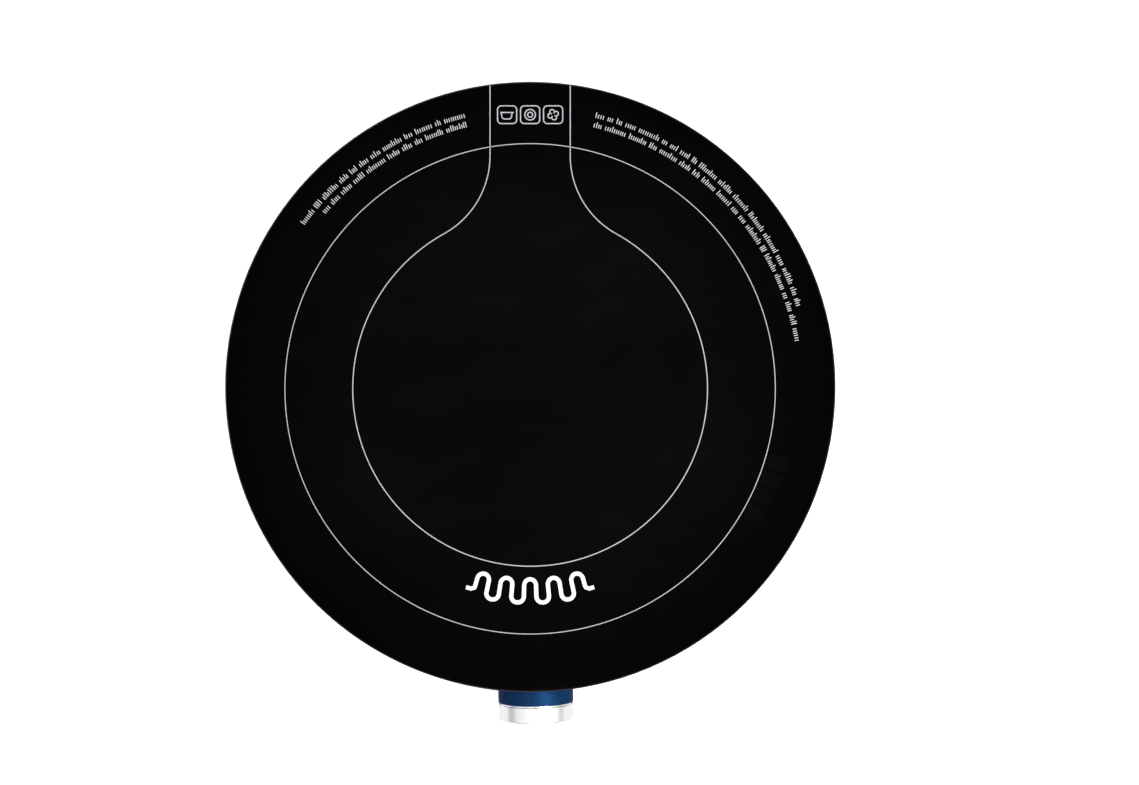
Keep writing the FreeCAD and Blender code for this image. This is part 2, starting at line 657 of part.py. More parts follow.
def fuse_holder():
    tube = Part.makeCylinder(2.6, 18, V(70, 60, BOARD_TOP + 4.2), V(1, 0, 0))
    caps = [Part.makeCylinder(3.1, 5, V(x, 60, BOARD_TOP + 4.2), V(1, 0, 0)) for x in (69, 84)]
    clips = [box(x, x + 3, 58, 62, BOARD_TOP, BOARD_TOP + 2.6) for x in (70, 85)]
    return fuse(tube, caps + clips)


def transformer():
    core = rounded_box(40, 60, 46, 62, BOARD_TOP + 1, BOARD_TOP + 17, 1)
    bobbin = rounded_box(38, 62, 50, 58, BOARD_TOP, BOARD_TOP + 14, 1)
    return fuse(core, [bobbin])


TABS = [(12.0, 66.0), (20.0, 66.0), (28.0, 66.0)]
COIL_TERMINALS = [(40.0, -64.0), (92.0, -6.0)]


def mains_tabs():
    tabs = [box(x - 0.4, x + 0.4, y - 3.1, y + 3.1, BOARD_TOP, BOARD_TOP + 8) for x, y in TABS]
    return Part.makeCompound(tabs)


def board_connectors():
    """Controller chips, plug blocks and the coil's terminal blocks on the two boards."""
    blocks = [box(40, 52, -6, 2, BOARD_TOP, BOARD_TOP + 2.5), box(-12, -4, 46, 58, BOARD_TOP, BOARD_TOP + 7)]
    blocks.append(box(0, 16, -68, -61, BOARD_TOP, BOARD_TOP + 7))
    blocks.append(box(24, 34, -58, -50, BOARD_TOP, BOARD_TOP + 6))
    for x, y in COIL_TERMINALS:
        blocks.append(rounded_box(x - 4, x + 4, y - 4, y + 4, BOARD_TOP, BOARD_TOP + 7, 1))
    back = -CONTROL_Y - CONTROL_T
    blocks += [front_box(-12, -2, back - 2, back, 38, 46), front_box(0, 16, back - 5, back, 19, 25)]
    blocks.append(front_box(13, 19, back - 5, back, 40, 46))
    return Part.makeCompound(blocks)


# ---- fan ----------------------------------------------------------------------------------------
def fan_holes():
    return [(FAN_X + a * FAN_HOLE, FAN_Y + b * FAN_HOLE) for a in (-1, 1) for b in (-1, 1)]


def fan_frame():
    h = FAN_SIZE / 2
    x0, x1, y0, y1 = FAN_X - h, FAN_X + h, FAN_Y - h, FAN_Y + h
    top = FAN_Z + FAN_DEPTH
    flanges = [rounded_box(x0, x1, y0, y1, FAN_Z, FAN_Z + 3.5, 4)]
    flanges.append(rounded_box(x0, x1, y0, y1, top - 3.5, top, 4))
    duct = ring(39.8, 38.0, FAN_Z, top, FAN_X, FAN_Y)
    flanges = [cut(f, [cyl(38.0, FAN_Z - 1, top + 1, FAN_X, FAN_Y)]) for f in flanges]
    motor_plate = cyl(16.0, FAN_Z, FAN_Z + 2.2, FAN_X, FAN_Y)
    struts = []
    for k in range(4):
        strut = box(14, 38.6, -1.6, 1.6, FAN_Z, FAN_Z + 2.6)
        strut.rotate(V(0, 0, 0), UP, 90 * k + 30)
        strut.translate(V(FAN_X, FAN_Y, 0))
        struts.append(strut)
    tube = cyl(5.4, FAN_Z, FAN_Z + 16, FAN_X, FAN_Y)
    holes = [cyl(1.6, FAN_Z - 1, FAN_Z + 4, x, y) for x, y in fan_holes()]
    holes += [cyl(2.9, top - 4, top + 1, x, y) for x, y in fan_holes()]
    holes.append(cyl(4.0, FAN_Z + 1.2, FAN_Z + 17, FAN_X, FAN_Y))
    return cut(fuse(duct, flanges + [motor_plate, tube] + struts), holes)


def fan_blade():
    """One blade: a thin strip that leans more at the hub than at the tip."""
    sections = []
    for radius, sweep, lean in ((16.6, 0.0, 9.0), (27.0, 5.0, 10.5), (36.6, 12.0, 12.0)):
        low, high = FAN_Z + 5.0, FAN_Z + 20.0
        t = 0.6
        corners = [V(radius, sweep - lean - t, low), V(radius, sweep - lean + t, low),
                   V(radius, sweep + lean * 0.5 + t, high), V(radius, sweep + lean * 0.5 - t, high)]
        sections.append(Part.makePolygon(corners + corners[:1]))
    return Part.makeLoft(sections, True, True)


def fan_rotor():
    hub_top = FAN_Z + 22.0
    cup = spin([(15.9, FAN_Z + 3.6), (17.4, FAN_Z + 3.6), (17.4, hub_top - 1.5), (15.9, hub_top),
                (1.52, hub_top), (1.52, FAN_Z + 17.2), (4.5, FAN_Z + 17.2), (4.5, hub_top - 1.8),
                (15.9, hub_top - 1.8)])
    reach = cyl(37.0, FAN_Z, FAN_Z + FAN_DEPTH).cut(cyl(16.5, FAN_Z - 1, FAN_Z + FAN_DEPTH + 1))
    blades = [turned(fan_blade().common(reach), 360.0 / FAN_BLADES * k) for k in range(FAN_BLADES)]
    rotor = fuse(cup, blades)
    rotor.translate(V(FAN_X, FAN_Y, 0))
    return rotor


def fan_shaft():
    return cyl(1.5, FAN_Z + 1.4, FAN_Z + 21.8, FAN_X, FAN_Y)


def fan_magnet():
    return ring(15.85, 13.8, FAN_Z + 4, FAN_Z + 14, FAN_X, FAN_Y)


def fan_bearings():
    return Part.makeCompound([ring(3.95, 1.55, z, z + 4, FAN_X, FAN_Y) for z in (FAN_Z + 1.4, FAN_Z + 11.6)])


def fan_stator():
    core = ring(8.0, 5.45, FAN_Z + 4, FAN_Z + 14, FAN_X, FAN_Y)
    poles = []
    for k in range(4):
        pole = fuse(box(7, 12, -2, 2, FAN_Z + 6, FAN_Z + 12), [box(11.2, 14, -5, 5, FAN_Z + 5, FAN_Z + 13)])
        pole = pole.common(cyl(13.3, FAN_Z, FAN_Z + 20))
        pole.rotate(V(0, 0, 0), UP, 90 * k)
        pole.translate(V(FAN_X, FAN_Y, 0))
        poles.append(pole)
    return fuse(core, poles)


# ---- display under the glass --------------------------------------------------------------------
def display_board():
    plate = turned(box(116, 137.5, -28, 28, BOARD_TOP_DISPLAY - BOARD_T, BOARD_TOP_DISPLAY), DISPLAY_TURN)
    return cut(plate, [cyl(1.6, 45, 55, x, y) for x, y in display_holes()])


def display_module():
    return turned(box(118.5, 130.5, -19, 19, BOARD_TOP_DISPLAY, GLASS_Z - 1.6), DISPLAY_TURN)


# ---- leads --------------------------------------------------------------------------------------
def mains_lead(index, route):
    """Insulated lead from an inlet tab to a board tab, with a push-on sleeve at each end."""
    x, z = PIN_PLACES[index]
    bx, by = TABS[index]
    start, end = (x, 109.5, z), (bx, by, BOARD_TOP + 11.5)
    tab_room = box(x - 0.45, x + 0.45, 112.8, 117, z - 3.2, z + 3.2)
    sleeve_a = box(x - 2, x + 2, 108.5, 116, z - 4, z + 4).cut(tab_room)
    sleeve_b = box(bx - 2, bx + 2, by - 4, by + 4, BOARD_TOP + 4, BOARD_TOP + 12)
    sleeve_b = sleeve_b.cut(box(bx - 0.45, bx + 0.45, by - 3.2, by + 3.2, BOARD_TOP + 3, BOARD_TOP + 8.1))
    return fuse(lead([start] + route + [end], 1.5), [sleeve_a, sleeve_b])


def live_lead():
    return mains_lead(0, [(-7, 101, 29), (2, 88, 33), (10, 72, 38), (12, 66, 36)])


def neutral_lead():
    return mains_lead(1, [(7, 101, 29), (13, 90, 33), (19, 75, 38), (20, 66, 36)])


def earth_lead():
    return mains_lead(2, [(0, 102, 33), (10, 96, 39), (26, 79, 41), (28, 67, 37)])


def coil_leads():
    z = COIL_Z
    end_r = COIL_START_R + COIL_HALF_TURNS * COIL_PITCH / 2
    (ax, ay), (bx, by) = COIL_TERMINALS
    top = BOARD_TOP + 7
    inner = [(COIL_START_R, 0, z), (22.35, -2.8, z), (22.3, -6.2, z - 5), (22.3, -7, z - 10.7),
             (30, -24, z - 11.8), (38, -52, z - 12), (ax, ay, z - 18), (ax, ay, top)]
    outer = [(end_r, 0, z), (end_r, 3, z), (end_r - 0.4, 7.2, z - 5.5), (end_r + 1, 6.5, z - 14),
             (bx, by, z - 20), (bx, by, top)]
    return Part.makeCompound([lead(inner, LITZ_R), lead(outer, LITZ_R)])


def sensor_lead():
    return lead([(0, 0, 50), (0, 0, 45.4), (8, -12, 45.4), (22, -40, 45.4), (29, -54, 40),
                 (29, -54, BOARD_TOP + 6)], 0.9)


def fan_lead():
    return lead([(FAN_X + 40, 56, FAN_Z + 8), (-14.5, 56, FAN_Z + 8), (-14.5, 55, FAN_Z + 19),
                 (-8, 52, FAN_Z + 19), (-8, 52, BOARD_TOP + 7)], 1.0)


def display_lead():
    back = CONTROL_Y + CONTROL_T + 5
    return lead([(101, -62, BOARD_TOP_DISPLAY - BOARD_T), (101, -62, 43), (86, -74, 41.5), (52, -102, 41),
                 (24, -115, 42.5), (16, -118, 43), (16, back, 43)], 1.0)


def ribbon_cable():
    """Flat cable between the control board and the power board."""
    def section(start, along):
        w, t = 7.0, 0.6
        c = [V(start.x - w, start.y, start.z - t), V(start.x + w, start.y, start.z - t),
             V(start.x + w, start.y, start.z + t), V(start.x - w, start.y, start.z + t)]
        return Part.makePolygon(c + c[:1])

    back = CONTROL_Y + CONTROL_T + 5
    route = [(8, back, 22), (8, -112, 22), (8, -98, 28), (8, -80, 30), (8, -64.5, 29), (8, -64.5, 22.6)]
    return swept(route, section)


# ---- all pieces ---------------------------------------------------------------------------------
PIECES = [
    glass_top, glass_seal, upper_housing, base_cover, base_screws, knob_cap, knob_insert, encoder_shaft,
    knob_collar, encoder_body, encoder_nut, switch_plunger, collar_bracket, knob_screws, control_board,
    mains_inlet, inlet_pins, inlet_screws, induction_coil, coil_former, ferrite_bars, mica_sheet,
    coil_springs, coil_screws, sensor_boot, surface_sensor, power_board, board_screws, heat_sink,
    power_transistor, bridge_rectifier, resonant_capacitor, filter_capacitor, choke_core, choke_winding,
    bulk_capacitors, fuse_holder, transformer, mains_tabs, board_connectors, fan_frame, fan_rotor,
    fan_shaft, fan_magnet, fan_bearings, fan_stator, display_board, display_module, live_lead,
    neutral_lead, earth_lead, coil_leads, sensor_lead, fan_lead, display_lead, ribbon_cable,
]


def export(name, shape):
    if not shape.isValid():
        print("INVALID", name)
    print(f"{name}: {len(shape.Solids)} solid(s), {shape.Volume:.1f} mm3")
    shape.exportStep(f"parts/{name}.step")


def main():
    os.makedirs("parts", exist_ok=True)
    for piece in PIECES:
        export(piece.__name__, piece())
    for k, angle in enumerate(FOOT_ANGLES):
        export(f"foot_{k + 1}", foot(angle))


main()
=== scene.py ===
# Looks of the portable induction hot plate: materials, the printed marks on the glass, a blank type plate
# under the floor, and the studio. The print is drawn in millimetres, and everything is built in metres.

import math
import random

import bmesh
import bpy
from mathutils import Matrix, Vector


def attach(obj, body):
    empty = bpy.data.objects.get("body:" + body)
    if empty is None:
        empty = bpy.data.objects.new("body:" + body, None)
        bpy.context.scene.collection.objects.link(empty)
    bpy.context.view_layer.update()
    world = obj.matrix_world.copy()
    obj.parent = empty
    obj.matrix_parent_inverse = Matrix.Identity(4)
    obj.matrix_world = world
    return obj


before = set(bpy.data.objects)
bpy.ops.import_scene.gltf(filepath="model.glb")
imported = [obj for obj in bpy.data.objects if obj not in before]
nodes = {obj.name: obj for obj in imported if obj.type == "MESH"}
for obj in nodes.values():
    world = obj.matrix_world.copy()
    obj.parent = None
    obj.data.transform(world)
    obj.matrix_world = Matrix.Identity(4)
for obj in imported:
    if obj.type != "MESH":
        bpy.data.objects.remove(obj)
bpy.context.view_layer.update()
scene = bpy.context.scene

MM = 0.001

# Heights of the object's own faces and the knob's axis.
GLASS_TOP = 64.0 * MM
FLOOR_UNDERSIDE = 6.0  # mm
KNOB_AXIS_Z = 33.0 * MM

# The ink lies this far into the glass and this far above it.
INK_UNDER = 0.02 * MM
INK_OVER = 0.03 * MM

# The print, in mm. The glass sits a little turned on the drum, and the print a little towards the front.
PRINT_TURN = math.radians(-0.8)
PRINT_X, PRINT_Y = -0.1, -0.9
PRINT_REACH = 149.3  # radius at which the neck's lines end
RING_R, RING_LINE_W = 120.4, 0.38
PAN_R, PAN_LINE_W = 87.1, 0.46
NECK_HALF, NECK_ARC = 19.7, 43.8
MARK_Y, MARK_STEP, MARK_LINE_W = 133.7, 11.3, 0.52
MARK_HALF_W, MARK_HALF_H, MARK_CORNER = 4.7, 4.35, 1.9
TICK_H, TICK_TALL, TICK_W = 1.9, 0.9, 0.38
NOTE_ROWS = ((137.8, 103.6, 144.2), (133.1, 103.7, 139.6), (137.8, 76.4, 17.3), (133.1, 76.3, 9.9))
EMBLEM_R, EMBLEM_TURN_R, EMBLEM_LEG, EMBLEM_BENDS, EMBLEM_LINE_W = 99.3, 3.0, 5.6, 9, 2.0

# The display under the glass: a row of four dim cells on a radius.
DISPLAY_TURN = math.radians(-24.0)
DISPLAY_R, DISPLAY_HALF_W, DISPLAY_HALF_L, DISPLAY_CELL = 126.5 * MM, 4.6 * MM, 18.0 * MM, 9.0 * MM

# The type plate, in mm: its middle and its half sizes.
PLATE_X, PLATE_Y, PLATE_HALF_W, PLATE_HALF_H = -50.0, -46.0, 33.0, 16.0

# The studio. The camera looks straight down from this far above CAMERA_PLANE, where it sees VIEW_WIDTH.
CAMERA_X, CAMERA_Y, CAMERA_PLANE = 19.24 * MM, -2.7 * MM, 62.0 * MM
CAMERA_RISE, VIEW_WIDTH, SENSOR_WIDTH = 1.0, 0.5604, 36.0
FLAG_FRONT = -0.151  # front edge of the dark flag, as the tangent of its angle from straight up


# ---- materials ----------------------------------------------------------------------------------
class Look:
    """A material on one Principled shader, with short helpers to feed its sockets."""

    def __init__(self, name, color, rough, metallic=0.0, **sockets):
        self.name = name
        self.material = bpy.data.materials.new("look_" + name)
        self.material.use_nodes = True
        self.tree = self.material.node_tree
        self.shader = self.tree.nodes["Principled BSDF"]
        self.set("Base Color", (*color, 1.0))
        self.set("Roughness", rough)
        self.set("Metallic", metallic)
        for key, value in sockets.items():
            self.set(key.replace("_", " "), value)
        self.coords = self.add("ShaderNodeTexCoord").outputs["Object"]
        self.material.diffuse_color = (*color, 1.0)

    def set(self, socket, value):
        self.shader.inputs[socket].default_value = value

    def add(self, kind, **settings):
        node = self.tree.nodes.new(kind)
        for key, value in settings.items():
            setattr(node, key, value)
        return node

    def link(self, source, target):
        self.tree.links.new(source, target)

    def to(self, socket, source):
        self.link(source, self.shader.inputs[socket])

    def math(self, operation, a, b=None):
        node = self.add("ShaderNodeMath", operation=operation)
        for socket, value in zip(node.inputs, (a, b)):
            if isinstance(value, (int, float)):
                socket.default_value = value
            elif value is not None:
                self.link(value, socket)
        return node.outputs[0]

    def noise(self, scale, detail=3.0, rough=0.55, stretch=(1, 1, 1)):
        mapping = self.add("ShaderNodeMapping")
        mapping.inputs["Scale"].default_value = stretch
        self.link(self.coords, mapping.inputs["Vector"])
        node = self.add("ShaderNodeTexNoise")
        node.inputs["Scale"].default_value = scale
        node.inputs["Detail"].default_value = detail
        node.inputs["Roughness"].default_value = rough
        self.link(mapping.outputs["Vector"], node.inputs["Vector"])
        return node.outputs["Fac"]

    def ranged(self, source, from_low, from_high, to_low, to_high):
        node = self.add("ShaderNodeMapRange")
        for socket, value in zip(node.inputs[1:5], (from_low, from_high, to_low, to_high)):
            socket.default_value = value
        self.link(source, node.inputs[0])
        return node.outputs[0]

    def mixed(self, factor, a, b):
        node = self.add("ShaderNodeMix", data_type="RGBA")
        self.link(factor, node.inputs[0])
        for socket, value in ((node.inputs[6], a), (node.inputs[7], b)):
            if isinstance(value, tuple):
                socket.default_value = (*value, 1.0)
            else:
                self.link(value, socket)
        return node.outputs[2]

    def bump(self, height, distance, strength):
        node = self.add("ShaderNodeBump")
        node.inputs["Strength"].default_value = strength
        node.inputs["Distance"].default_value = distance
        self.link(height, node.inputs["Height"])
        self.to("Normal", node.outputs["Normal"])

    def axes(self):
        split = self.add("ShaderNodeSeparateXYZ")
        self.link(self.coords, split.inputs[0])
        return split.outputs


def varied(name, color, other, rough, spread, scale, grain, depth, metallic, stretch=(1, 1, 1)):
    """A surface whose colour drifts towards another one, with uneven gloss and a fine grain."""
    look = Look(name, color, rough, metallic)
    broad = look.noise(scale, 4.0, 0.6, stretch)
    look.to("Base Color", look.mixed(look.ranged(broad, 0.35, 0.7, 0.0, 1.0), color, other))
    fine = look.noise(grain, 2.0, 0.5, stretch)
    look.to("Roughness", look.ranged(fine, 0.3, 0.7, rough - spread, rough + spread))
    look.bump(fine, depth, 0.6)
    return look


def radius_of(look, knob=False):
    """Distance from the disc's axis, or from the knob's."""
    x, y, z = look.axes()
    across = look.math("SUBTRACT", z, KNOB_AXIS_Z) if knob else y
    squares = look.math("ADD", look.math("MULTIPLY", x, x), look.math("MULTIPLY", across, across))
    return look.math("SQRT", squares)


def glass_look():
    """Black ceramic glass: wiped, glossy, with a ground edge, a display just visible through it, and painted
    shade darkening it towards the rim.
    """
    black, haze, window = (0.0016, 0.0016, 0.0020), (0.0026, 0.0026, 0.0031), (0.0044, 0.0031, 0.0039)
    # The second black on the next line is painted shade for the rim; edge is the ground edge's own grey.
    painted_rim_shade, edge = (0.0006, 0.0005, 0.0009), (0.006, 0.0062, 0.0075)
    look = Look("black_glass", black, 0.04, IOR=1.5, Specular_IOR_Level=0.18)
    smear = look.noise(9.0, 5.0, 0.65, (1.0, 2.2, 1.0))
    color = look.mixed(look.ranged(smear, 0.4, 0.75, 0.0, 1.0), black, haze)
    x, y, _ = look.axes()
    c, s = math.cos(DISPLAY_TURN), math.sin(DISPLAY_TURN)
    u = look.math("ADD", look.math("MULTIPLY", x, c), look.math("MULTIPLY", y, s))
    v = look.math("SUBTRACT", look.math("MULTIPLY", y, c), look.math("MULTIPLY", x, s))
    in_u = look.math("LESS_THAN", look.math("ABSOLUTE", look.math("SUBTRACT", u, DISPLAY_R)), DISPLAY_HALF_W)
    in_v = look.math("LESS_THAN", look.math("ABSOLUTE", v), DISPLAY_HALF_L)
    cell = look.math("FRACT", look.math("ADD", look.math("DIVIDE", v, DISPLAY_CELL), 10.0))
    in_cell = look.math("LESS_THAN", look.math("ABSOLUTE", look.math("SUBTRACT", cell, 0.5)), 0.36)
    shown = look.math("MULTIPLY", look.math("MULTIPLY", in_u, in_v), in_cell)
    color = look.mixed(shown, color, window)
    radius = radius_of(look)
    # Painted shade: the glass colour darkens from 90 mm out towards the rim.
    color = look.mixed(look.ranged(radius, 90 * MM, 149 * MM, 0.0, 0.85), color, painted_rim_shade)
    rim = look.ranged(radius, 149.2 * MM, 149.45 * MM, 0.0, 1.0)
    look.to("Base Color", look.mixed(rim, color, edge))
    polish = look.ranged(look.noise(38.0, 6.0, 0.7), 0.3, 0.75, 0.02, 0.05)
    look.to("Roughness", look.math("ADD", polish, look.math("MULTIPLY", rim, 0.3)))
    look.bump(look.noise(14.0, 2.0), 0.004 * MM, 0.5)
    return look


def blue_look():
    """Satin navy paint with fine flakes."""
    deep, light = (0.0020, 0.017, 0.061), (0.0115, 0.046, 0.121)
    look = Look("navy_satin", deep, 0.46, 0.4, Specular_IOR_Level=0.04, Specular_Tint=(0.08, 0.30, 0.50, 1.0))
    flake = look.noise(1500.0, 2.0, 0.75)
    cloud = look.noise(60.0, 4.0, 0.6)
    mixed = look.math("ADD", look.math("MULTIPLY", flake, 0.85), look.math("MULTIPLY", cloud, 0.15))
    look.to("Base Color", look.mixed(look.ranged(mixed, 0.38, 0.64, 0.0, 1.0), deep, light))
    look.to("Roughness", look.ranged(look.noise(900.0, 3.0), 0.3, 0.7, 0.38, 0.54))
    look.bump(look.noise(1500.0, 3.0, 0.6), 0.02 * MM, 0.55)
    return look


def cap_look():
    """Turned and satin-chromed metal: fine rings on the face, faint polish marks all over."""
    look = Look("satin_chrome", (0.90, 0.90, 0.91), 0.2, 1.0)
    radius = radius_of(look, knob=True)
    rings = look.math("SINE", look.math("MULTIPLY", radius, 2 * math.pi / (0.22 * MM)))
    rings = look.math("MULTIPLY", rings, look.ranged(radius, 17.9 * MM, 18.3 * MM, 1.0, 0.0))
    uneven = look.noise(260.0, 3.0, 0.6, (1.0, 8.0, 1.0))
    look.to("Roughness", look.ranged(uneven, 0.3, 0.7, 0.17, 0.29))
    tint = look.ranged(look.noise(45.0, 3.0), 0.3, 0.7, 0.0, 1.0)
    look.to("Base Color", look.mixed(tint, (0.86, 0.86, 0.87), (0.93, 0.93, 0.935)))
    height = look.math("ADD", look.math("MULTIPLY", rings, 0.3), uneven)
    look.bump(height, 0.0035 * MM, 0.5)
    return look


def board_look():
    """Lacquered circuit board with copper runs showing through and bright solder pads."""
    look = Look("circuit_board", (0.01, 0.09, 0.03), 0.35, Coat_Weight=0.4, Coat_Roughness=0.15)
    bricks = look.add("ShaderNodeTexBrick")
    bricks.inputs["Scale"].default_value = 95.0
    bricks.inputs["Mortar Size"].default_value = 0.045
    bricks.inputs["Color1"].default_value = (0, 0, 0, 1)
    bricks.inputs["Color2"].default_value = (0.25, 0.25, 0.25, 1)
    bricks.inputs["Mortar"].default_value = (1, 1, 1, 1)
    look.link(look.coords, bricks.inputs["Vector"])
    runs = look.mixed(bricks.outputs["Color"], (0.008, 0.075, 0.028), (0.02, 0.17, 0.06))
    pads = look.add("ShaderNodeTexVoronoi")
    pads.inputs["Scale"].default_value = 230.0
    look.link(look.coords, pads.inputs["Vector"])
    pad = look.ranged(pads.outputs["Distance"], 0.16, 0.2, 1.0, 0.0)
    look.to("Base Color", look.mixed(pad, runs, (0.55, 0.54, 0.5)))
    look.to("Metallic", pad)
    look.to("Roughness", look.ranged(look.noise(300.0), 0.3, 0.7, 0.28, 0.42))
    look.bump(bricks.outputs["Fac"], 0.03 * MM, 0.4)
    return look


def litz_look():
    """Bundle of lacquered copper strands with a visible twist, with painted shade darkening the grooves between
    strands.
    """
    look = Look("litz_copper", (0.55, 0.20, 0.08), 0.38, 0.9, Coat_Weight=0.5, Coat_Roughness=0.2)
    radius = radius_of(look)
    x, y, _ = look.axes()
    angle = look.math("ARCTAN2", y, x)
    twist = look.math("ADD", look.math("MULTIPLY", angle, 95.0), look.math("MULTIPLY", radius, 5200.0))
    strands = look.math("ABSOLUTE", look.math("SINE", twist))
    # Painted shade: the colour goes dark in the grooves between the strands, following the bump.
    look.to("Base Color", look.mixed(strands, (0.20, 0.055, 0.02), (0.72, 0.29, 0.12)))
    look.to("Roughness", look.ranged(look.noise(500.0), 0.3, 0.7, 0.3, 0.48))
    look.bump(strands, 0.12 * MM, 0.8)
    return look


def label_look():
    """Brushed foil of the blank type plate."""
    dull, bright = (0.62, 0.62, 0.63), (0.74, 0.74, 0.75)
    return varied("foil_plate", dull, bright, 0.34, 0.08, 30.0, 700.0, 0.004 * MM, 0.85, (1, 22, 1))


# Colour, the colour it drifts towards, roughness, its spread, scale of the drift, scale and depth of the
# grain, metallic.
PLAIN = {
    "grey_silicone": ((0.022, 0.022, 0.024), (0.032, 0.032, 0.034), 0.6, 0.1, 60.0, 1400.0, 0.01 * MM, 0.0),
    "black_grain": ((0.016, 0.016, 0.018), (0.024, 0.024, 0.026), 0.5, 0.09, 35.0, 1700.0, 0.035 * MM, 0.0),
    "foot_rubber": ((0.017, 0.017, 0.018), (0.034, 0.033, 0.032), 0.78, 0.1, 150.0, 1100.0, 0.03 * MM, 0.0),
    "zinc_steel": ((0.52, 0.52, 0.53), (0.66, 0.65, 0.62), 0.34, 0.1, 420.0, 2200.0, 0.004 * MM, 1.0),
    "spring_steel": ((0.36, 0.36, 0.38), (0.5, 0.5, 0.52), 0.3, 0.08, 300.0, 2600.0, 0.003 * MM, 1.0),
    "white_nylon": ((0.62, 0.6, 0.55), (0.7, 0.68, 0.64), 0.46, 0.08, 120.0, 1300.0, 0.012 * MM, 0.0),
    "black_nylon": ((0.015, 0.015, 0.016), (0.022, 0.022, 0.023), 0.44, 0.08, 90.0, 1500.0, 0.02 * MM, 0.0),
    "brass": ((0.55, 0.40, 0.15), (0.66, 0.50, 0.22), 0.3, 0.08, 380.0, 2000.0, 0.004 * MM, 1.0),
    "nickel": ((0.6, 0.58, 0.54), (0.7, 0.68, 0.65), 0.24, 0.07, 300.0, 1900.0, 0.003 * MM, 1.0),
    "ferrite": ((0.035, 0.035, 0.038), (0.06, 0.058, 0.058), 0.62, 0.1, 260.0, 1600.0, 0.03 * MM, 0.0),
    "mica": ((0.42, 0.38, 0.3), (0.6, 0.56, 0.47), 0.4, 0.12, 90.0, 800.0, 0.02 * MM, 0.0),
    "epoxy_black": ((0.013, 0.013, 0.014), (0.02, 0.02, 0.021), 0.4, 0.08, 150.0, 1500.0, 0.015 * MM, 0.0),
    "extruded_aluminium": ((0.58, 0.58, 0.59), (0.7, 0.7, 0.71), 0.38, 0.09, 60.0, 1200.0, 0.008 * MM, 1.0),
    "capacitor_red": ((0.30, 0.035, 0.018), (0.38, 0.05, 0.025), 0.3, 0.06, 90.0, 1300.0, 0.008 * MM, 0.0),
    "can_sleeve": ((0.01, 0.014, 0.035), (0.018, 0.025, 0.055), 0.26, 0.06, 90.0, 1200.0, 0.006 * MM, 0.0),
    "varnished_core": ((0.05, 0.04, 0.03), (0.12, 0.09, 0.05), 0.4, 0.1, 240.0, 1500.0, 0.03 * MM, 0.0),
    "fan_plastic": ((0.012, 0.012, 0.013), (0.02, 0.02, 0.021), 0.42, 0.08, 70.0, 1400.0, 0.012 * MM, 0.0),
    "display_filter": ((0.02, 0.006, 0.007), (0.03, 0.01, 0.011), 0.22, 0.05, 80.0, 1300.0, 0.004 * MM, 0.0),
    "lead_brown": ((0.13, 0.05, 0.02), (0.17, 0.07, 0.03), 0.42, 0.07, 100.0, 1200.0, 0.01 * MM, 0.0),
    "lead_blue": ((0.02, 0.09, 0.3), (0.03, 0.12, 0.38), 0.42, 0.07, 100.0, 1200.0, 0.01 * MM, 0.0),
    "lead_green": ((0.10, 0.24, 0.03), (0.45, 0.38, 0.04), 0.42, 0.07, 45.0, 1200.0, 0.01 * MM, 0.0),
    "lead_white": ((0.58, 0.57, 0.54), (0.66, 0.65, 0.62), 0.42, 0.07, 100.0, 1200.0, 0.01 * MM, 0.0),
    "lead_grey": ((0.2, 0.2, 0.21), (0.27, 0.27, 0.28), 0.42, 0.07, 100.0, 1200.0, 0.01 * MM, 0.0),
    "print_ink": ((0.36, 0.37, 0.385), (0.43, 0.44, 0.455), 0.5, 0.08, 240.0, 2400.0, 0.004 * MM, 0.0),
    "white_ink": ((0.70, 0.70, 0.72), (0.78, 0.78, 0.80), 0.5, 0.08, 240.0, 2400.0, 0.004 * MM, 0.0),
    "note_ink": ((0.45, 0.46, 0.48), (0.52, 0.53, 0.55), 0.5, 0.08, 240.0, 2400.0, 0.004 * MM, 0.0),
}
LOOKS = {name: varied(name, *values) for name, values in PLAIN.items()}
for make in (glass_look, blue_look, cap_look, board_look, litz_look, label_look):
    made = make()
    LOOKS[made.name] = made

DRESS = {
    "black_glass": ["glass_top"],
    "navy_satin": ["upper_housing", "knob_collar"],
    "satin_chrome": ["knob_cap"],
    "grey_silicone": ["glass_seal", "sensor_boot"],
    "black_grain": ["base_cover"],
    "foot_rubber": ["foot_1", "foot_2", "foot_3", "foot_4"],
    "zinc_steel": ["base_screws", "encoder_body", "knob_screws", "inlet_screws", "coil_screws", "board_screws"],
    "spring_steel": ["coil_springs"],
    "white_nylon": ["switch_plunger", "board_connectors"],
    "black_nylon": ["knob_insert", "collar_bracket", "mains_inlet", "coil_former"],
    "brass": ["encoder_nut", "fan_bearings"],
    "nickel": ["encoder_shaft", "inlet_pins", "surface_sensor", "mains_tabs", "fan_shaft", "fuse_holder"],
    "litz_copper": ["induction_coil", "choke_winding", "coil_leads"],
    "ferrite": ["ferrite_bars", "choke_core", "fan_magnet"],
    "mica": ["mica_sheet"],
    "circuit_board": ["control_board", "power_board", "display_board"],
    "epoxy_black": ["power_transistor", "bridge_rectifier"],
    "extruded_aluminium": ["heat_sink"],
    "capacitor_red": ["resonant_capacitor", "filter_capacitor"],
    "can_sleeve": ["bulk_capacitors"],
    "varnished_core": ["transformer", "fan_stator"],
    "fan_plastic": ["fan_frame", "fan_rotor"],
    "display_filter": ["display_module"],
    "lead_brown": ["live_lead"],
    "lead_blue": ["neutral_lead"],
    "lead_green": ["earth_lead"],
    "lead_white": ["sensor_lead", "display_lead"],
    "lead_grey": ["fan_lead", "ribbon_cable"],
}
for look_name, members in DRESS.items():
    for member in members:
        mesh = nodes[member].data
        mesh.materials.clear()
        mesh.materials.append(LOOKS[look_name].material)


